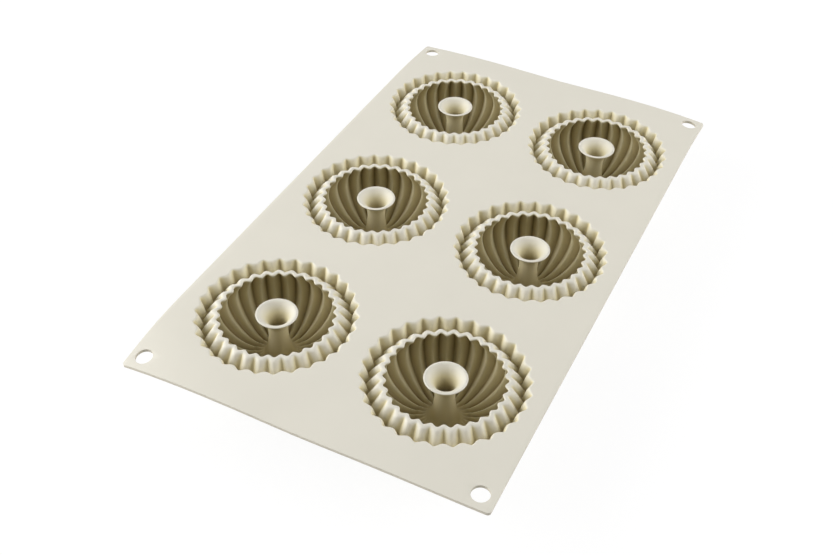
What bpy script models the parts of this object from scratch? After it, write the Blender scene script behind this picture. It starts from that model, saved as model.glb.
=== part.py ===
"""Silicone mini ring-cake mould: one sheet with six fluted cups, each round a hollow centre post.

Frame: metres, +Z up, +Y along the sheet. The cups' flat feet stand on z = 0, below the sheet's centre.
"""
import math

import bmesh
import bpy

MM = 0.001

# Layout of the cups in the sheet
COLUMNS = 2
ROWS = 3
WEB_ACROSS = 8.6 * MM        # sheet left between two openings side by side
WEB_ALONG = 18.6 * MM        # sheet left between two openings in line
MARGIN_ACROSS = 6.8 * MM     # sheet outside the openings at the long sides
MARGIN_ALONG = 16.8 * MM     # sheet outside the openings at the short sides

# Sheet
SHEET_THICKNESS = 1.5 * MM
SHEET_CORNER_RADIUS = 1.5 * MM
HANG_HOLE_DIAMETER = 8.0 * MM
HANG_HOLE_INSET = 7.0 * MM   # hole centre to each of the two sides of its corner
SEAM = 0.36 * MM             # clearance between the sheet and a cup, and a cup and its post

# Flutes, which are all in phase from the sheet's edge to the bowl
FLUTES = 30
RIM_FLUTE = 0.8 * MM         # half the flutes' depth at the openings, the trench and the lip
BOWL_FLUTE = 1.3 * MM        # half their depth on the bowl's inner wall
OUTER_FLUTE = 1.05 * MM      # half their depth on the bowl's outside
FLOOR_FLUTE = 0.5 * MM       # half their depth on the bowl's floor

# Bowl
CAVITY_DEPTH = 28.0 * MM
CAVITY_RADIUS = 32.6 * MM    # at the widest place, which is below the lip
CAVITY_WIDEST = 12.0 * MM    # depth of that place
CAVITY_FLOOR_RADIUS = 16.0 * MM
BOWL_WALL = 1.7 * MM
FLOOR_THICKNESS = 2.0 * MM
FOOT_RADIUS = 19.5 * MM
FLOOR_RISE = 0.7 * MM        # height of the floor's inner edge above its lowest ring

# Lip and trench
MOUTH_RADIUS = 26.5 * MM
LIP_WIDTH = 1.4 * MM
TRENCH_DEPTH = 7.2 * MM
TRENCH_OFFSET = 1.3 * MM     # trench floor outside the widest place of the bowl
SKIRT_FLARE = 2.2 * MM       # sheet's edge outside the trench floor
SKIRT_WALL = 0.94 * MM

# Post
POST_RIM_RADIUS = 9.7 * MM
POST_NECK_RADIUS = 4.7 * MM
POST_NECK_DEPTH = 9.7 * MM
POST_BASE_RADIUS = 12.0 * MM
POST_WALL = 1.1 * MM
TRUMPET_POWER = 3.0          # how sharply the mouth flares out
BASE_POWER = 2.8             # how sharply the base flares out

# Facets
COLUMNS_PER_FLUTE = 2
POST_COLUMNS = 16
HOLE_COLUMNS = 16
CORNER_POINTS = 3

# Sizes that follow
TRENCH_RADIUS = CAVITY_RADIUS + TRENCH_OFFSET
EDGE_RADIUS = TRENCH_RADIUS + SKIRT_FLARE
SKIRT_RADIUS = EDGE_RADIUS + SKIRT_WALL
OPENING_RADIUS = SKIRT_RADIUS + SEAM
OPENING_REACH = OPENING_RADIUS + RIM_FLUTE
PITCH_ACROSS = 2 * OPENING_REACH + WEB_ACROSS
PITCH_ALONG = 2 * OPENING_REACH + WEB_ALONG
SHEET_WIDTH = (COLUMNS - 1) * PITCH_ACROSS + 2 * (OPENING_REACH + MARGIN_ACROSS)
SHEET_LENGTH = (ROWS - 1) * PITCH_ALONG + 2 * (OPENING_REACH + MARGIN_ALONG)
TOP = CAVITY_DEPTH + FLOOR_THICKNESS

COLUMN_NAMES = ["left", "right"]
ROW_NAMES = ["front", "middle", "rear"]


def silicone(name, colour, roughness):
    """Plain matte silicone for one piece."""
    material = bpy.data.materials.new(name)
    material.use_nodes = True
    shader = material.node_tree.nodes["Principled BSDF"]
    shader.inputs["Base Color"].default_value = colour
    shader.inputs["Roughness"].default_value = roughness
    shader.inputs["Metallic"].default_value = 0.0
    return material


def fluted(middle, depth, angle):
    """Where a fluted wall lies at an angle, about the middle of its flutes, the first at angle zero."""
    return middle + depth * math.cos(FLUTES * angle)


def cavity_wall():
    """Bowl's inner wall from below the lip to the floor's lowest ring.

    Its flutes turn with the wall, from sideways at the widest place to downwards on the floor.
    """
    points = []
    for share in (0.5, 1.0):
        radius = MOUTH_RADIUS + (CAVITY_RADIUS - MOUTH_RADIUS) * math.sin(math.pi / 2 * share)
        points.append((radius, CAVITY_WIDEST * share, BOWL_FLUTE, 0.0))
    for degrees in (30, 60, 90):
        turn = math.radians(degrees)
        radius = CAVITY_FLOOR_RADIUS + (CAVITY_RADIUS - CAVITY_FLOOR_RADIUS) * math.cos(turn)
        depth = CAVITY_WIDEST + (CAVITY_DEPTH - CAVITY_WIDEST) * math.sin(turn)
        points.append((radius, depth, BOWL_FLUTE * math.cos(turn), FLOOR_FLUTE * math.sin(turn)))
    return points


def cup_section():
    """Closed section of a cup: radius, depth below the sheet's top, half flute depth out and down."""
    skirt_foot = TRENCH_RADIUS + SKIRT_WALL + BOWL_WALL / 2
    outside = [
        (SKIRT_RADIUS, 0.0, RIM_FLUTE, 0.0),
        (skirt_foot, TRENCH_DEPTH + BOWL_WALL / 2, RIM_FLUTE, 0.0),
    ]
    height = CAVITY_DEPTH + FLOOR_THICKNESS
    for degrees in (22, 54):
        turn = math.radians(degrees)
        radius = FOOT_RADIUS + (CAVITY_RADIUS + BOWL_WALL - FOOT_RADIUS) * math.cos(turn)
        depth = CAVITY_WIDEST + (height - CAVITY_WIDEST) * math.sin(turn)
        outside.append((radius, depth, OUTER_FLUTE * math.sqrt(math.cos(turn)), 0.0))
    hole = POST_BASE_RADIUS + SEAM
    outside.append((FOOT_RADIUS, height, 0.0, 0.0))
    outside.append((hole, height, 0.0, 0.0))
    inside = [(hole, CAVITY_DEPTH - FLOOR_RISE, 0.0, 0.0)]
    inside += reversed(cavity_wall())
    lip = [
        (MOUTH_RADIUS, 0.0, RIM_FLUTE, 0.0),
        (MOUTH_RADIUS + LIP_WIDTH, 0.0, RIM_FLUTE, 0.0),
    ]
    trench = [
        (TRENCH_RADIUS, TRENCH_DEPTH, RIM_FLUTE, 0.0),
        (EDGE_RADIUS, 0.0, RIM_FLUTE, 0.0),
    ]
    return outside + inside + lip + trench


def post_outline(offset):
    """Post's skin from the mouth down to its base, moved inward by an offset."""
    base_depth = CAVITY_DEPTH - FLOOR_RISE
    skin = []
    for share in (0.0, 0.3, 1.0):
        flare = (POST_RIM_RADIUS - POST_NECK_RADIUS) * (1 - share) ** TRUMPET_POWER
        skin.append((POST_NECK_RADIUS + flare - offset, POST_NECK_DEPTH * share))
    for share in (0.5, 0.8, 1.0):
        flare = (POST_BASE_RADIUS - POST_NECK_RADIUS) * share ** BASE_POWER
        depth = POST_NECK_DEPTH + (base_depth - POST_NECK_DEPTH) * share
        skin.append((POST_NECK_RADIUS + flare - offset, depth))
    return skin


def post_section():
    """Closed section of a post as radius and depth: a trumpet over a flared base ring."""
    height = CAVITY_DEPTH + FLOOR_THICKNESS
    outside = post_outline(0.0) + [(POST_BASE_RADIUS, height)]
    inside = [(POST_BASE_RADIUS - POST_WALL, height)] + list(reversed(post_outline(POST_WALL)[:-1]))
    return [(radius, depth, 0.0, 0.0) for radius, depth in outside + inside]


def spun_mesh(name, section, columns, material):
    """Full turn of a closed section about Z, with the flutes pressed into it."""
    bm = bmesh.new()
    shape = bm.verts.layers.float_vector.new("section")
    ring = []
    for radius, depth, outward, downward in section:
        vert = bm.verts.new((radius, 0.0, TOP - depth))
        vert[shape] = (radius, outward, downward)
        ring.append(vert)
    edges = [bm.edges.new((ring[i - 1], ring[i])) for i in range(len(ring))]
    bmesh.ops.spin(bm, geom=ring + edges, cent=(0, 0, 0), axis=(0, 0, 1), angle=math.tau,
                   steps=columns, use_merge=True)
    for vert in bm.verts:
        radius, outward, downward = vert[shape]
        angle = math.atan2(vert.co.y, vert.co.x)
        reach = fluted(radius, outward, angle)
        vert.co.x = reach * math.cos(angle)
        vert.co.y = reach * math.sin(angle)
        vert.co.z -= fluted(0.0, downward, angle)
    bmesh.ops.recalc_face_normals(bm, faces=bm.faces)
    mesh = bpy.data.meshes.new(name)
    bm.to_mesh(mesh)
    bm.free()
    mesh.materials.append(material)
    mesh.shade_smooth()
    mesh.set_sharp_from_angle(angle=math.radians(50))
    return mesh


def add_outline(curve, points):
    """Closed straight-sided outline in a flat curve."""
    spline = curve.splines.new("POLY")
    spline.points.add(len(points) - 1)
    for target, (x, y) in zip(spline.points, points):
        target.co = (x, y, 0.0, 1.0)
    spline.use_cyclic_u = True


def fluted_circle(centre, radius, flute, columns):
    """Points round a centre, on a circle or on a fluted edge."""
    points = []
    for i in range(columns):
        angle = math.tau * i / columns
        reach = fluted(radius, flute, angle)
        points.append((centre[0] + reach * math.cos(angle), centre[1] + reach * math.sin(angle)))
    return points


def rounded_rectangle(width, length, radius):
    """Outline of a rectangle with rounded corners, centred on the origin."""
    points = []
    corners = [(1, 1), (-1, 1), (-1, -1), (1, -1)]
    for quarter, (side_x, side_y) in enumerate(corners):
        x = side_x * (width / 2 - radius)
        y = side_y * (length / 2 - radius)
        for i in range(CORNER_POINTS):
            angle = math.pi / 2 * (quarter + i / (CORNER_POINTS - 1))
            points.append((x + radius * math.cos(angle), y + radius * math.sin(angle)))
    return points


def cup_centres():
    """Name and centre of each cup, row by row."""
    centres = []
    for row in range(ROWS):
        for column in range(COLUMNS):
            x = (column - (COLUMNS - 1) / 2) * PITCH_ACROSS
            y = (row - (ROWS - 1) / 2) * PITCH_ALONG
            centres.append((f"{ROW_NAMES[row]}_{COLUMN_NAMES[column]}", (x, y)))
    return centres


def add_sheet(collection, material):
    """Flat sheet with its six fluted openings and four hanging holes."""
    curve = bpy.data.curves.new("sheet", "CURVE")
    curve.dimensions = "2D"
    curve.fill_mode = "BOTH"
    curve.extrude = SHEET_THICKNESS / 2
    add_outline(curve, rounded_rectangle(SHEET_WIDTH, SHEET_LENGTH, SHEET_CORNER_RADIUS))
    for _, centre in cup_centres():
        add_outline(curve, fluted_circle(centre, OPENING_RADIUS, RIM_FLUTE, FLUTES * COLUMNS_PER_FLUTE))
    hole_x = SHEET_WIDTH / 2 - HANG_HOLE_INSET
    hole_y = SHEET_LENGTH / 2 - HANG_HOLE_INSET
    for centre in ((-hole_x, -hole_y), (hole_x, -hole_y), (-hole_x, hole_y), (hole_x, hole_y)):
        add_outline(curve, fluted_circle(centre, HANG_HOLE_DIAMETER / 2, 0.0, HOLE_COLUMNS))
    curve.materials.append(material)
    sheet = bpy.data.objects.new("sheet", curve)
    sheet.location.z = TOP - SHEET_THICKNESS / 2
    collection.objects.link(sheet)


def build():
    """Make the sheet, the six cups and the six posts."""
    for old in list(bpy.data.objects):
        bpy.data.objects.remove(old, do_unlink=True)
    collection = bpy.data.collections.new("mini_ring_cake_mould")
    bpy.context.scene.collection.children.link(collection)
    add_sheet(collection, silicone("sheet_silicone", (0.76, 0.72, 0.62, 1.0), 0.55))
    cup_silicone = silicone("cup_silicone", (0.70, 0.66, 0.54, 1.0), 0.5)
    post_silicone = silicone("post_silicone", (0.72, 0.68, 0.57, 1.0), 0.5)
    cup_mesh = spun_mesh("cup", cup_section(), FLUTES * COLUMNS_PER_FLUTE, cup_silicone)
    post_mesh = spun_mesh("post", post_section(), POST_COLUMNS, post_silicone)
    for place, (x, y) in cup_centres():
        for kind, mesh in (("cup", cup_mesh), ("post", post_mesh)):
            piece = bpy.data.objects.new(f"{kind}_{place}", mesh)
            piece.location = (x, y, 0.0)
            collection.objects.link(piece)


build()
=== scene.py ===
"""Looks of the silicone mini ring-cake mould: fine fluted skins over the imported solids.

Sizes are in millimetres, and MM turns them to metres. Depths are measured down from the sheet's face.
"""
import math

import bmesh
import bpy
from mathutils import Matrix, Vector


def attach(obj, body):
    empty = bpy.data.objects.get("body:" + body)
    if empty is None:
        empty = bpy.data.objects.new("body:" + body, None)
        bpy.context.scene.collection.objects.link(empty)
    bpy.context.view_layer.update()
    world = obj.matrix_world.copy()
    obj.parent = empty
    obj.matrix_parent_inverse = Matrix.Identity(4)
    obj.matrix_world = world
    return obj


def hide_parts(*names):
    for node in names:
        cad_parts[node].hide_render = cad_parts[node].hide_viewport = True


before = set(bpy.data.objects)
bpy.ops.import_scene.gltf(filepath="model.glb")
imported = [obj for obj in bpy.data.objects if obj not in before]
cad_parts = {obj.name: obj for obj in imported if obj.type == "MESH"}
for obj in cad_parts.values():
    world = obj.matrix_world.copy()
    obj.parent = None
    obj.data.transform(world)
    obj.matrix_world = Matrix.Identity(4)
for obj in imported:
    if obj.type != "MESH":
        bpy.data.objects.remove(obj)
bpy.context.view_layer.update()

MM = 0.001
SAME_POINT = 1e-4          # points closer than this count as one

# Sheet, as in the part's source
SHEET_WIDTH = 175.0
SHEET_LENGTH = 300.0
SHEET_THICKNESS = 1.5
SHEET_CORNER_RADIUS = 1.5
SHEET_EDGE_ROUND = 0.25
HANG_HOLE_RADIUS = 4.0
HANG_HOLE_INSET = 7.0      # hole centre to each of the two sides of its corner
FACE_HEIGHT = 30.0         # the sheet's face above the cups' feet
CORNERS = ((1, 1), (-1, 1), (-1, -1), (1, -1))  # signs of x and y, in turn round the sheet
CORNER_STEPS = 8
HOLE_STEPS = 48
ROUND_STEPS = 3
SQUARE_EDGE = 1.0          # radians between two faces, past which their edge is a square one
SHEET_SHARP_ANGLE = 50.0   # degrees, past which an edge of the sheet isn't shaded smooth

# Sag of the soft sheet, in mm per mm past the nearest cup: left, middle and right of each end
FRONT_SAG = (0.145, 0.085, 0.02)
REAR_SAG = (0.085, 0.075, 0.125)
SAG_STARTS_Y = 105.0       # half the length that stays flat
SAG_EASE = 6.0             # distance over which the slope sets in past a cup
SAG_BLEND = 8.0            # distance over which the pull of one cup passes to the next

# Distances from the middle at which the sheet's flat face is cut, so that it can bend there
SAG_CUTS_X = (0.0, 15.0, 30.0, 45.0, 56.0, 65.0, 72.0, 79.0, 84.0)
SAG_CUTS_Y = (108.0, 116.0, 124.0, 130.0, 135.0, 139.0, 143.0, 147.0)

# Cups
CUP_X = {"left": -42.5, "right": 42.5}
CUP_Y = {"front": -95.0, "middle": 0.0, "rear": 95.0}
CUP_CENTRES = [(x, y) for x in CUP_X.values() for y in CUP_Y.values()]
CUP_REACH = 40.0           # within this of a cup's centre, an edge belongs to its opening
CUP_STEPS = 720
POST_STEPS = 360
CUP_SHARP_ANGLE = 60.0     # degrees, past which an edge of a cup or post isn't shaded smooth

# Flutes. A positive cusp narrows a flute's outward peak, and a negative one its inward peak
FLUTES = 30
OPENING_RADIUS = 37.4
OPENING_FLUTE = 0.8        # half the flutes' depth at the sheet's openings
OPENING_CUSP = 0.4
POST_CUSP = -0.1
CUSP_ROUND = 0.1           # roundness of a fully narrowed peak, which at 0 would be a knife edge

# Painted shades run from 0, the sheet's own colour on its face, to 1, the deepest groove
# painted shade of the bowl's flutes: paler ridges, darker grooves
BOWL_PAINTED_SHADE = (0.24, 0.74)  # of a flute's inward side, and how much darker its outward side is
OUTSIDE_PAINTED_SHADE = 0.15       # of a cup's whole outside
SHADE_GATHER = 2.0         # how closely a shade gathers in the bottom of a groove
CUSP_GATHER = 1.2          # how much closer it gathers where a cusp narrows the groove

# Sections of a cup: radius, depth, half flute depth, cusp, painted shade, and the further painted
# shade of each flute's outward side, or of its inward side where that is negative

# From the sheet's opening down the skirt, through the trench, and up and over the lip
EDGE = [
    (37.4, 0.0, 0.8, 0.4, 0.0, 0.0),
    (37.15, 0.01, 0.8, 0.4, 0.0, 0.0),
    (36.75, 0.15, 0.82, 0.45, 0.02, 0.04),
    (36.35, 0.55, 0.88, 0.55, 0.08, 0.14),
    (36.05, 1.2, 1.0, 0.7, 0.13, 0.32),
    (35.55, 2.8, 1.15, 0.8, 0.16, 0.44),
    (34.9, 5.2, 1.15, 0.65, 0.2, 0.45),
    (34.3, 6.9, 1.0, 0.2, 0.52, 0.25),
    (33.95, 7.2, 1.0, 0.01, 0.82, 0.0),
    (33.4, 6.9, 1.05, -0.3, 0.48, -0.25),
    (32.4, 5.4, 1.15, -0.6, 0.14, -0.45),
    (31.1, 3.5, 1.15, -0.65, 0.07, -0.45),
    (29.9, 1.8, 1.0, -0.6, 0.03, -0.36),
    (29.15, 0.75, 0.9, -0.5, 0.01, -0.2),
    (28.4, 0.2, 0.82, -0.3, 0.0, 0.0),
    (27.5, 0.0, 0.78, -0.2, 0.0, 0.0),
    (26.9, 0.02, 0.77, -0.15, 0.0, 0.0),
    (26.5, 0.25, 0.78, -0.1, 0.03, 0.0),
    (26.4, 0.75, 0.82, -0.1, 0.15, 0.3),
    (26.8, 1.4, 0.95, -0.1, 0.16, 0.55),
]

# From under the lip down the undercut wall and across the floor to the post
BOWL = [
    (26.8, 1.4, 0.95, -0.1, 0.16, 0.55),
    (28.4, 3.1, 1.2, 0.0, 0.22, 0.72),
    (30.2, 5.6, 1.4, 0.05, *BOWL_PAINTED_SHADE),
    (31.6, 8.6, 1.5, 0.05, *BOWL_PAINTED_SHADE),
    (32.2, 12.0, 1.5, 0.05, *BOWL_PAINTED_SHADE),
    (31.7, 16.0, 1.5, 0.05, *BOWL_PAINTED_SHADE),
    (29.9, 20.0, 1.45, 0.05, *BOWL_PAINTED_SHADE),
    (26.9, 23.4, 1.35, 0.05, *BOWL_PAINTED_SHADE),
    (23.2, 26.0, 1.2, 0.05, *BOWL_PAINTED_SHADE),
    (19.1, 27.6, 1.1, 0.0, *BOWL_PAINTED_SHADE),
    (16.2, 28.0, 0.95, 0.0, 0.26, 0.74),
    (14.2, 28.0, 0.85, 0.0, 0.3, 0.7),
    (13.0, 27.75, 0.8, -0.1, 0.35, 0.62),
    (12.2, 27.3, 0.7, -0.1, 0.42, 0.5),
]

# Outside of a cup, from its foot up to the sheet: radius, depth, half flute depth, cusp
FOOT = [
    (12.2, 30.0, 0.0, 0.0),
    (18.6, 30.0, 0.0, 0.0),
]
UNDERSIDE = [
    (19.6, 29.95, 0.05, -0.1),
    (22.6, 29.0, 0.35, -0.2),
    (26.6, 26.8, 0.75, -0.3),
    (30.3, 23.6, 0.95, -0.4),
    (32.9, 19.6, 1.0, -0.4),
    (34.1, 15.4, 1.0, -0.3),
    (34.5, 12.0, 1.0, -0.2),
    (35.0, 9.8, 0.9, -0.05),
    (35.7, 8.0, 0.85, 0.15),
    (36.3, 5.0, 0.85, 0.4),
    (36.75, 2.6, 0.85, 0.5),
    (37.1, 1.7, 0.8, 0.4),
]
SEAM = [
    (37.4, 1.5, 0.8, 0.4),
]

# Outside of a post, from its mouth down to the bowl's floor: radius, depth, painted shade, half flute
# depth, and the further painted shade of each flute's outward side
POST = [
    (8.75, 0.0, 0.0, 0.0, 0.0),
    (9.3, 0.0, 0.0, 0.0, 0.0),
    (9.68, 0.16, 0.0, 0.0, 0.0),
    (9.6, 0.5, 0.15, 0.0, 0.0),
    (8.9, 1.0, 0.25, 0.0, 0.0),
    (7.4, 2.1, 0.25, 0.0, 0.0),
    (6.1, 3.8, 0.34, 0.0, 0.0),
    (5.0, 6.2, 0.34, 0.0, 0.0),
    (4.6, 9.2, 0.34, 0.0, 0.0),
    (4.6, 12.4, 0.38, 0.0, 0.0),
    (4.9, 15.8, 0.42, 0.0, 0.0),
    (5.5, 19.4, 0.45, 0.0, 0.0),
    (6.5, 22.8, 0.47, 0.0, 0.0),
    (8.0, 25.3, 0.5, 0.05, 0.06),
    (10.1, 26.9, 0.46, 0.4, 0.3),
    (12.2, 27.3, 0.42, 0.7, 0.5),
]

# Inside of a post, from its open bottom up to its mouth: radius, depth, painted shade
BORE = [
    (12.2, 30.0, 0.15),
    (11.0, 30.0, 0.15),
    (9.2, 28.3, 0.15),
    (6.6, 25.6, 0.3),
    (5.1, 22.0, 0.5),
    (4.2, 18.2, 0.7),
    (3.7, 14.2, 0.8),
    (3.55, 10.6, 0.75),
    (3.8, 7.6, 0.5),
    (4.5, 4.9, 0.3),
    (5.7, 2.6, 0.15),
    (7.2, 1.0, 0.05),
    (8.2, 0.25, 0.02),
    (8.75, 0.0, 0.0),
]

# Silicone's own colour on the face, then painted shade for a lit wall, a deep wall and a groove's
# bottom
FACE = "#e2ded1"
WALL_PAINTED_SHADE = "#dcd3b0"
DEPTH_PAINTED_SHADE = "#b4a57d"
GROOVE_PAINTED_SHADE = "#80734a"
HOLLOW_PAINTED_SHADES = ((0.0, FACE), (0.25, WALL_PAINTED_SHADE), (0.85, DEPTH_PAINTED_SHADE), (1.0, GROOVE_PAINTED_SHADE))

# Sheet by how level it lies: its own colour on its faces, greyer painted shade on its edges and in
# its holes
EDGE_PAINTED_SHADE = "#cdc7b8"
SHEET_TONES_WITH_PAINTED_SHADE = ((0.0, EDGE_PAINTED_SHADE), (0.9, FACE))

# Silicone's surface
CLOUD_SIZE = 22.22         # width of the faint clouds that uneven filler leaves
CLOUD_VALUES = (0.3, 0.7)  # values that nearly all of the clouds' noise lies between
CLOUD_TINT = 0.01          # how much lighter or darker a cloud is
GRAIN_SIZE = 0.4545        # the tool's real grain, nearer 0.05, is drawn coarser so that it shows
GRAIN_DEPTH = 0.05
GRAIN_STRENGTH = 0.08
SILICONE_ROUGHNESS = 0.55
SILICONE_IOR = 1.41

# Floor, whose glow to the camera grows to white with the distance from the mould
PAPER = "#e6e5e2"
FLOOR_REACH = 3000.0       # from the middle to each side
FLOOR_DROP = 0.1           # clearance under the feet
SHADOW_SHARE = 0.12        # how much of its light and shadow the camera sees
GLOW_DISTANCES = (300.0, 800.0)
GLOW_LEVELS = (0.91, 1.0)

# White surround, and its strength where it lights the mould
WHITE = "#ffffff"
SURROUND_LEVEL = 0.16

# Studio lamps, turned to the mould: place and side in millimetres, power in watts
LAMPS = {
    "overhead": ((-250.0, 400.0, 750.0), 500.0, 0.8),
    "left": ((-950.0, -460.0, 330.0), 1100.0, 20.8),
    "right": ((950.0, 460.0, 450.0), 1100.0, 13.1),
}

# Camera: angles in degrees, and its place from the middle of the sheet's face
CAMERA_ELEVATION = 42.5196
CAMERA_AZIMUTH = 25.8673
CAMERA_ROLL = 1.2682
CAMERA_PLACE = (166.95, -382.62, 344.82)
CAMERA_CLIP = 10.0         # nothing nearer is seen
SENSOR_WIDTH = 36.0
PHOTO_WIDTH = 833          # pixels
FOCAL_LENGTH = 1083.75     # pixels


def wave(angle, cusp):
    """Height of the flutes at an angle round a cup, from -1 inwards to 1 outwards."""
    turn = FLUTES * angle
    side = math.sin(turn / 2) if cusp > 0 else math.cos(turn / 2)
    arch = (math.hypot(side, CUSP_ROUND) - CUSP_ROUND) / (math.hypot(1, CUSP_ROUND) - CUSP_ROUND)
    narrow = 1 - 2 * arch if cusp > 0 else 2 * arch - 1
    return (1 - abs(cusp)) * math.cos(turn) + abs(cusp) * narrow


def painted_flute_shade(height, cusp, shade, side_shade):
    """Painted shade at a height of the flutes: it grows towards their darker, recessed side, and
    gathers there the more where that side is the one that the cusp narrows."""
    side = math.copysign(1.0, side_shade)
    share = (1 + side * height) / 2
    further = abs(side_shade) * share ** (SHADE_GATHER + CUSP_GATHER * side * cusp)
    return min(max(shade + further, 0.0), 1.0)


def smooth_path(points, per_span):
    """Smooth curve through the points of a section, whatever each point holds."""
    path = []
    last = len(points) - 1
    for i in range(last):
        before, start = points[max(i - 1, 0)], points[i]
        end, after = points[i + 1], points[min(i + 2, last)]
        for j in range(per_span):
            t = j / per_span
            path.append(tuple(
                0.5 * (2 * b + (c - a) * t + (2 * a - 5 * b + 4 * c - d) * t * t
                       + (3 * b - a - 3 * c + d) * t ** 3)
                for a, b, c, d in zip(before, start, end, after)))
    path.append(points[-1])
    return path


def outside(path):
    """Gives a cup's outside its one even painted shade."""
    return [(*point, OUTSIDE_PAINTED_SHADE, 0.0) for point in path]


# The next four functions make the points that turned() takes: radius, depth, the outward and the
# upward part of half a flute's depth, cusp, painted shade and further painted shade

def sideways(path):
    """Keeps the flutes level, as on a rim, so that they shape the outline seen from above."""
    return [(radius, depth, flute, 0.0, cusp, shade, side_shade)
            for radius, depth, flute, cusp, shade, side_shade in path]


def pressed(path):
    """Turns the flutes from sideways, down to the widest place, to square to the wall below it,
    and to straight down at the last point, where the post begins."""
    widest = max(range(len(path)), key=lambda i: path[i][0])
    rings = []
    for i, (radius, depth, flute, cusp, shade, side_shade) in enumerate(path):
        out, up = 1.0, 0.0
        if i > widest:
            start, end = path[i - 1], path[min(i + 1, len(path) - 1)]
            run, drop = start[0] - end[0], end[1] - start[1]
            out, up = drop / math.hypot(run, drop), -run / math.hypot(run, drop)
        rings.append((radius, depth, flute * out, flute * up, cusp, shade, side_shade))
    radius, depth, flute, cusp, shade, side_shade = path[-1]
    rings[-1] = (radius, depth, 0.0, -flute, cusp, shade, side_shade)
    return rings


def upright(path):
    """Runs the flutes straight down, as on the floor round a post."""
    return [(radius, depth, 0.0, -flute, POST_CUSP, shade, side_shade)
            for radius, depth, shade, flute, side_shade in path]


def plain(path):
    """Leaves the flutes out, as in a post's bore."""
    return [(radius, depth, 0.0, 0.0, 0.0, shade, 0.0) for radius, depth, shade in path]


def closed_section(*runs):
    """Joins runs of a section into one loop, with no point twice."""
    loop = []
    for run in runs:
        for point in run:
            if not loop or math.dist(point[:2], loop[-1][:2]) > SAME_POINT:
                loop.append(point)
    if math.dist(loop[0][:2], loop[-1][:2]) < SAME_POINT:
        loop.pop()
    return loop


def finished(bm, name, material, sharp_angle):
    """Mesh of one material, shaded smooth but for its sharp edges."""
    mesh = bpy.data.meshes.new(name)
    bm.to_mesh(mesh)
    bm.free()
    mesh.materials.append(material)
    mesh.shade_smooth()
    mesh.set_sharp_from_angle(angle=math.radians(sharp_angle))
    return mesh


def turned(name, section, steps, material):
    """Full turn of a closed section about Z, with its flutes pressed in and its painted shade kept
    per vertex."""
    bm = bmesh.new()
    vectors = bm.verts.layers.float_vector
    flutes = vectors.new("flutes")
    shades = vectors.new("shades")
    painted_depth_shade = bm.verts.layers.float.new("painted_depth_shade")
    ring = []
    for radius, depth, outward, upward, cusp, shade, side_shade in section:
        height = min(max(FACE_HEIGHT - depth, 0.0), FACE_HEIGHT)
        vert = bm.verts.new((radius * MM, 0.0, height * MM))
        vert[flutes] = (outward, upward, cusp)
        vert[shades] = (shade, side_shade, 0.0)
        ring.append(vert)
    edges = [bm.edges.new((ring[i - 1], ring[i])) for i in range(len(ring))]
    bmesh.ops.spin(bm, geom=ring + edges, cent=(0, 0, 0), axis=(0, 0, 1), angle=math.tau,
                   steps=steps, use_merge=True)
    for vert in bm.verts:
        outward, upward, cusp = vert[flutes]
        shade, side_shade, _ = vert[shades]
        angle = math.atan2(vert.co.y, vert.co.x)
        height = wave(angle, cusp)
        direction = Vector((outward * math.cos(angle), outward * math.sin(angle), upward))
        vert.co += direction * height * MM
        # painted shade: darker down the hollows and in the grooves, kept per vertex for the colour
        # ramp
        vert[painted_depth_shade] = painted_flute_shade(height, cusp, shade, side_shade)
    for key in ("flutes", "shades"):
        vectors.remove(vectors[key])
    bmesh.ops.recalc_face_normals(bm, faces=bm.faces)
    return finished(bm, name, material, CUP_SHARP_ANGLE)


def cup_mesh(material):
    """Edge, trench, lip and bowl, and back up round the outside to the sheet."""
    section = closed_section(
        sideways(smooth_path(EDGE, per_span=3)),
        pressed(smooth_path(BOWL, per_span=4)),
        sideways(outside(FOOT)),
        sideways(outside(smooth_path(UNDERSIDE, per_span=2))),
        sideways(outside(SEAM)))
    return turned("cup_skin", section, CUP_STEPS, material)


def post_mesh(material):
    """Trumpet mouth, neck and spreading foot, and back up through the bore."""
    section = closed_section(
        upright(smooth_path(POST, per_span=3)),
        plain(smooth_path(BORE, per_span=2)))
    return turned("post_skin", section, POST_STEPS, material)


def sag(x, y):
    """How far the soft sheet hangs below its flat face, at its two ends past the cups."""
    reaches = [math.hypot(x - cup_x, y - cup_y) for cup_x, cup_y in CUP_CENTRES]
    nearest = -SAG_BLEND * math.log(sum(math.exp(-reach / SAG_BLEND) for reach in reaches))
    past = max(nearest - OPENING_RADIUS - 2 * OPENING_FLUTE, 0.0)
    left, middle, right = FRONT_SAG if y < 0 else REAR_SAG
    share = abs(x) / (SHEET_WIDTH / 2)
    slope = middle + ((left if x < 0 else right) - middle) * share ** 2
    # From 0 where the sheet starts to sag to 1 at its end
    end = min(max((abs(y) - SAG_STARTS_Y) / (SHEET_LENGTH / 2 - SAG_STARTS_Y), 0.0), 1.0)
    return slope * past ** 2 / (past + SAG_EASE) * end * end * (3 - 2 * end)


def draw_outline(bm):
    """Outline of the sheet in its face's plane, with rounded corners."""
    outline = [bm.verts.new((x * SHEET_WIDTH / 2 * MM, y * SHEET_LENGTH / 2 * MM, FACE_HEIGHT * MM))
               for x, y in CORNERS]
    for i in range(len(outline)):
        bm.edges.new((outline[i - 1], outline[i]))
    bmesh.ops.bevel(bm, geom=outline, offset=SHEET_CORNER_RADIUS * MM, segments=CORNER_STEPS,
                    profile=0.5, affect="VERTICES", material=-1)


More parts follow.
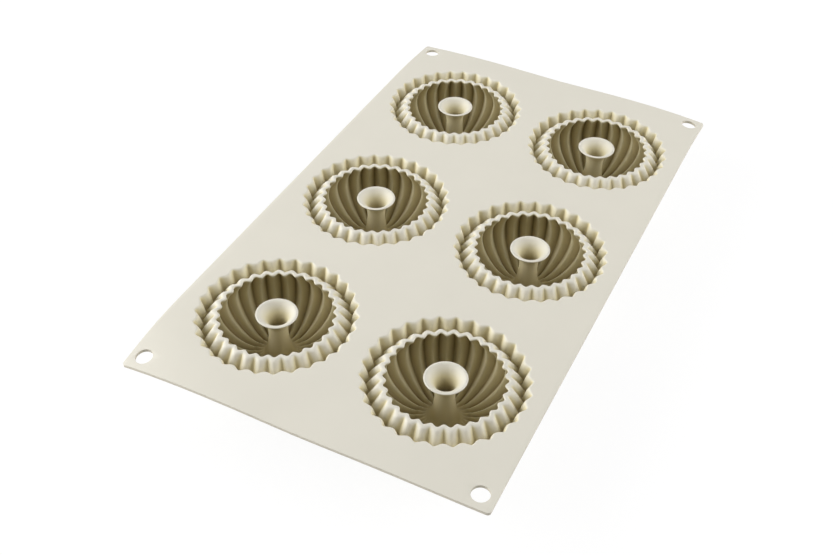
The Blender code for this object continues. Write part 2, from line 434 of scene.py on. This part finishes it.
def draw_openings(bm):
    """Fluted edges of the six openings."""
    for x, y in CUP_CENTRES:
        circle = bmesh.ops.create_circle(bm, segments=CUP_STEPS, radius=OPENING_RADIUS * MM)
        for vert in circle["verts"]:
            angle = math.atan2(vert.co.y, vert.co.x)
            reach = (OPENING_RADIUS + OPENING_FLUTE * wave(angle, OPENING_CUSP)) * MM
            vert.co = (x * MM + reach * math.cos(angle), y * MM + reach * math.sin(angle),
                       FACE_HEIGHT * MM)


def draw_hanging_holes(bm):
    """Edges of the four round holes in the corners."""
    for x, y in CORNERS:
        place = Matrix.Translation((x * (SHEET_WIDTH / 2 - HANG_HOLE_INSET) * MM,
                                    y * (SHEET_LENGTH / 2 - HANG_HOLE_INSET) * MM, FACE_HEIGHT * MM))
        bmesh.ops.create_circle(bm, segments=HOLE_STEPS, radius=HANG_HOLE_RADIUS * MM, matrix=place)


def cut_for_sag(bm):
    """Cuts across the flat face, which let its ends bend."""
    for axis, cuts in (((1, 0, 0), SAG_CUTS_X), ((0, 1, 0), SAG_CUTS_Y)):
        for side in (-1, 1):
            for cut in cuts:
                bmesh.ops.bisect_plane(bm, geom=bm.verts[:] + bm.edges[:] + bm.faces[:],
                                       dist=SAME_POINT * MM,
                                       plane_co=Vector(axis) * side * cut * MM, plane_no=axis)


def thicken(bm):
    """Gives the flat face its underside and its edges."""
    grown = bmesh.ops.extrude_face_region(bm, geom=bm.faces[:], use_keep_orig=True)
    below = [item for item in grown["geom"] if isinstance(item, bmesh.types.BMVert)]
    bmesh.ops.translate(bm, verts=below, vec=(0, 0, -SHEET_THICKNESS * MM))
    bmesh.ops.recalc_face_normals(bm, faces=bm.faces)
    bm.normal_update()


def round_rims(bm):
    """Rounds the edges of the outline and the hanging holes, and leaves the openings' sharp, because
    the cups' skins go on from them."""
    cups = [Vector(centre) * MM for centre in CUP_CENTRES]
    rims = []
    for edge in bm.edges:
        start, end = (vert.co for vert in edge.verts)
        level = abs(start.z - end.z) < SAME_POINT * MM
        if level and len(edge.link_faces) == 2 and edge.calc_face_angle() > SQUARE_EDGE:
            middle = (start + end).xy / 2
            if min((middle - cup).length for cup in cups) > CUP_REACH * MM:
                rims.append(edge)
    bmesh.ops.bevel(bm, geom=rims, offset=SHEET_EDGE_ROUND * MM, segments=ROUND_STEPS, profile=0.5,
                    affect="EDGES", material=-1, clamp_overlap=True)


def sheet_mesh(material):
    """Soft plate with rounded corners, six fluted openings and four hanging holes."""
    bm = bmesh.new()
    draw_outline(bm)
    draw_openings(bm)
    draw_hanging_holes(bm)
    bmesh.ops.triangle_fill(bm, use_beauty=True, edges=bm.edges[:])
    cut_for_sag(bm)
    thicken(bm)
    round_rims(bm)
    for vert in bm.verts:
        vert.co.z -= sag(vert.co.x / MM, vert.co.y / MM) * MM
    return finished(bm, "sheet_skin", material, SHEET_SHARP_ANGLE)


def linear(code):
    """Linear colour of an sRGB hex code."""
    channels = [int(code[i:i + 2], 16) / 255 for i in (1, 3, 5)]
    return [c / 12.92 if c <= 0.04045 else ((c + 0.055) / 1.055) ** 2.4 for c in channels] + [1.0]


def node(tree, kind, settings=None, inputs=None):
    """Adds one node with its settings, its values and its links."""
    made = tree.nodes.new(kind)
    for key, value in (settings or {}).items():
        setattr(made, key, value)
    for key, value in (inputs or {}).items():
        if isinstance(value, bpy.types.NodeSocket):
            tree.links.new(value, made.inputs[key])
        else:
            made.inputs[key].default_value = value
    return made


def set_tones(stops, tones):
    """Gives a ramp's stops the silicone's colour and painted shades, each with its position from 0 to
    1.
    """
    for stop, (position, code) in zip((stops[0], stops[1]), (tones[0], tones[-1])):
        stop.position = position
        stop.color = linear(code)
    for position, code in tones[1:-1]:
        stops.new(position).color = linear(code)


def hollow_painted_shade_colour(tree):
    """Colour with painted shade: yellower and darker with the shade painted on a cup's or post's
    skin.
    """
    shade = node(tree, "ShaderNodeAttribute", {"attribute_name": "painted_depth_shade"})
    ramp = node(tree, "ShaderNodeValToRGB", inputs={"Fac": shade.outputs["Fac"]})
    set_tones(ramp.color_ramp.elements, HOLLOW_PAINTED_SHADES)
    return ramp.outputs["Color"]


def sheet_colour_with_painted_shade(tree):
    """Own light colour on the sheet's faces, and greyer painted shade on its edges and in its hanging
    holes.
    """
    geometry = node(tree, "ShaderNodeNewGeometry")
    facing = node(tree, "ShaderNodeSeparateXYZ", inputs={"Vector": geometry.outputs["Normal"]})
    level = node(tree, "ShaderNodeMath", {"operation": "ABSOLUTE"}, {"Value": facing.outputs["Z"]})
    ramp = node(tree, "ShaderNodeValToRGB", inputs={"Fac": level.outputs["Value"]})
    set_tones(ramp.color_ramp.elements, SHEET_TONES_WITH_PAINTED_SHADE)
    return ramp.outputs["Color"]


def moulded_silicone(name, colour):
    """Compression-moulded silicone: matte, with a soft sheen at low angles, finely grained by its
    steel tool, and slightly clouded by its filler."""
    material = bpy.data.materials.new(name)
    material.use_nodes = True
    tree = material.node_tree
    shader = tree.nodes["Principled BSDF"]
    shader.inputs["Roughness"].default_value = SILICONE_ROUGHNESS
    shader.inputs["IOR"].default_value = SILICONE_IOR
    place = node(tree, "ShaderNodeTexCoord").outputs["Object"]
    cloud = node(tree, "ShaderNodeTexNoise", inputs={
        "Vector": place, "Scale": 1 / (CLOUD_SIZE * MM), "Detail": 3.0})
    tint = node(tree, "ShaderNodeMapRange", inputs={
        "Value": cloud.outputs["Fac"], "From Min": CLOUD_VALUES[0], "From Max": CLOUD_VALUES[1],
        "To Min": 1 - CLOUD_TINT, "To Max": 1 + CLOUD_TINT})
    # base colour with its painted shade, clouded faintly by the filler
    clouded = node(tree, "ShaderNodeMix", {"data_type": "RGBA", "blend_type": "MULTIPLY"}, {
        "Factor": 1.0, "A": colour(tree), "B": tint.outputs["Result"]})
    tree.links.new(clouded.outputs["Result"], shader.inputs["Base Color"])
    grain = node(tree, "ShaderNodeTexNoise", inputs={
        "Vector": place, "Scale": 1 / (GRAIN_SIZE * MM), "Detail": 2.0})
    bump = node(tree, "ShaderNodeBump", inputs={
        "Height": grain.outputs["Fac"], "Strength": GRAIN_STRENGTH, "Distance": GRAIN_DEPTH * MM})
    tree.links.new(bump.outputs["Normal"], shader.inputs["Normal"])
    return material


def add_piece(name, mesh, replaced):
    """Links a finished piece, rides it on the body and lets it stand for its solid."""
    piece = bpy.data.objects.new(name, mesh)
    bpy.context.scene.collection.objects.link(piece)
    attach(piece, "root")
    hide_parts(replaced)


def add_pieces():
    """The sheet, and a cup and a post at each of the six places."""
    # the sheet's colour carries painted shade on its edges and holes, and the hollows' down the cups
    # and posts
    face = moulded_silicone("moulded_silicone_face_painted_edge_shade", sheet_colour_with_painted_shade)
    hollow = moulded_silicone("moulded_silicone_hollow_painted_shade", hollow_painted_shade_colour)
    add_piece("sheet_skin", sheet_mesh(face), "sheet")
    turned_pieces = {"cup": cup_mesh(hollow), "post": post_mesh(hollow)}
    for row, y in CUP_Y.items():
        for column, x in CUP_X.items():
            for kind, mesh in turned_pieces.items():
                placed = mesh.copy()
                placed.transform(Matrix.Translation((x * MM, y * MM, 0.0)))
                add_piece(f"{kind}_skin_{row}_{column}", placed, f"{kind}_{row}_{column}")


def seen_rays(tree):
    """Value of 1 for a ray that sees its target directly, in gloss or through something, else 0."""
    path = node(tree, "ShaderNodeLightPath")
    gloss = node(tree, "ShaderNodeMath", {"operation": "MAXIMUM"}, {
        0: path.outputs["Is Glossy Ray"], 1: path.outputs["Is Transmission Ray"]})
    seen = node(tree, "ShaderNodeMath", {"operation": "MAXIMUM"}, {
        0: path.outputs["Is Camera Ray"], 1: gloss.outputs["Value"]})
    return seen.outputs["Value"]


def glowing_paper(tree):
    """What the camera sees of the floor: near white, with a little of the mould's shadow."""
    shadow = node(tree, "ShaderNodeBsdfDiffuse", inputs={
        "Color": (SHADOW_SHARE, SHADOW_SHARE, SHADOW_SHARE, 1.0)})
    place = node(tree, "ShaderNodeTexCoord").outputs["Object"]
    away = node(tree, "ShaderNodeVectorMath", {"operation": "LENGTH"}, {0: place})
    level = node(tree, "ShaderNodeMapRange", inputs={
        "Value": away.outputs["Value"],
        "From Min": GLOW_DISTANCES[0] * MM, "From Max": GLOW_DISTANCES[1] * MM,
        "To Min": GLOW_LEVELS[0], "To Max": GLOW_LEVELS[1]})
    glow = node(tree, "ShaderNodeEmission", inputs={"Strength": level.outputs["Result"]})
    both = node(tree, "ShaderNodeAddShader", inputs={
        0: shadow.outputs["BSDF"], 1: glow.outputs["Emission"]})
    return both.outputs["Shader"]


def matte_paper():
    """Matte white paper: it lights the mould from below as plain paper, and the camera sees its
    glow from above and through it from below."""
    material = bpy.data.materials.new("matte_white_paper")
    material.use_nodes = True
    tree = material.node_tree
    tree.nodes.remove(tree.nodes["Principled BSDF"])
    paper = node(tree, "ShaderNodeBsdfDiffuse", inputs={"Color": linear(PAPER)})
    above = node(tree, "ShaderNodeMixShader", inputs={
        "Fac": seen_rays(tree), 1: paper.outputs["BSDF"], 2: glowing_paper(tree)})
    under = node(tree, "ShaderNodeMath", {"operation": "MULTIPLY"}, {
        0: node(tree, "ShaderNodeNewGeometry").outputs["Backfacing"],
        1: node(tree, "ShaderNodeLightPath").outputs["Is Camera Ray"]})
    clear = node(tree, "ShaderNodeBsdfTransparent")
    sides = node(tree, "ShaderNodeMixShader", inputs={
        "Fac": under.outputs["Value"], 1: above.outputs["Shader"], 2: clear.outputs["BSDF"]})
    tree.links.new(sides.outputs["Shader"], tree.nodes["Material Output"].inputs["Surface"])
    return material


def add_floor():
    """Plain pale floor just under the feet."""
    bm = bmesh.new()
    bmesh.ops.create_grid(bm, x_segments=1, y_segments=1, size=FLOOR_REACH * MM,
                          matrix=Matrix.Translation((0.0, 0.0, -FLOOR_DROP * MM)))
    mesh = bpy.data.meshes.new("floor")
    bm.to_mesh(mesh)
    bm.free()
    mesh.materials.append(matte_paper())
    floor = bpy.data.objects.new("floor", mesh)
    bpy.context.scene.collection.objects.link(floor)


def add_surround():
    """Even surround, dim where it lights the mould and white where it is seen."""
    world = bpy.data.worlds.new("studio")
    bpy.context.scene.world = world
    world.use_nodes = True
    tree = world.node_tree
    soft = tree.nodes["Background"]
    soft.inputs["Color"].default_value = linear(WHITE)
    soft.inputs["Strength"].default_value = SURROUND_LEVEL
    white = node(tree, "ShaderNodeBackground", inputs={"Color": linear(WHITE), "Strength": 1.0})
    both = node(tree, "ShaderNodeMixShader", inputs={
        "Fac": seen_rays(tree), 1: soft.outputs["Background"], 2: white.outputs["Background"]})
    tree.links.new(both.outputs["Shader"], tree.nodes["World Output"].inputs["Surface"])


def add_lamps():
    """A faint soft lamp overhead, and a broad low one on each side of the mould."""
    for name, (place, side, power) in LAMPS.items():
        lamp = bpy.data.lights.new(name, "AREA")
        lamp.size = side * MM
        lamp.energy = power
        holder = bpy.data.objects.new(name, lamp)
        holder.location = Vector(place) * MM
        holder.rotation_euler = (-Vector(place)).to_track_quat("-Z", "Y").to_euler()
        bpy.context.scene.collection.objects.link(holder)


def add_camera():
    """Camera at the photograph's place and angle."""
    elevation, azimuth, roll = map(math.radians, (CAMERA_ELEVATION, CAMERA_AZIMUTH, CAMERA_ROLL))
    forward = Vector((-math.sin(azimuth) * math.cos(elevation),
                      math.cos(azimuth) * math.cos(elevation),
                      -math.sin(elevation)))
    level = forward.cross(Vector((0, 0, 1))).normalized()
    right = level * math.cos(roll) + level.cross(forward) * math.sin(roll)
    up = right.cross(forward)
    pose = Matrix((right, up, -forward)).transposed().to_4x4()
    pose.translation = (Vector(CAMERA_PLACE) + Vector((0, 0, FACE_HEIGHT))) * MM
    camera = bpy.data.cameras.new("camera")
    camera.sensor_width = SENSOR_WIDTH
    camera.lens = FOCAL_LENGTH / PHOTO_WIDTH * SENSOR_WIDTH
    camera.clip_start = CAMERA_CLIP * MM
    holder = bpy.data.objects.new("camera", camera)
    holder.matrix_world = pose
    bpy.context.scene.collection.objects.link(holder)
    bpy.context.scene.camera = holder


add_camera()
add_pieces()
add_floor()
add_surround()
add_lamps()
bpy.context.scene.view_settings.view_transform = "Standard"
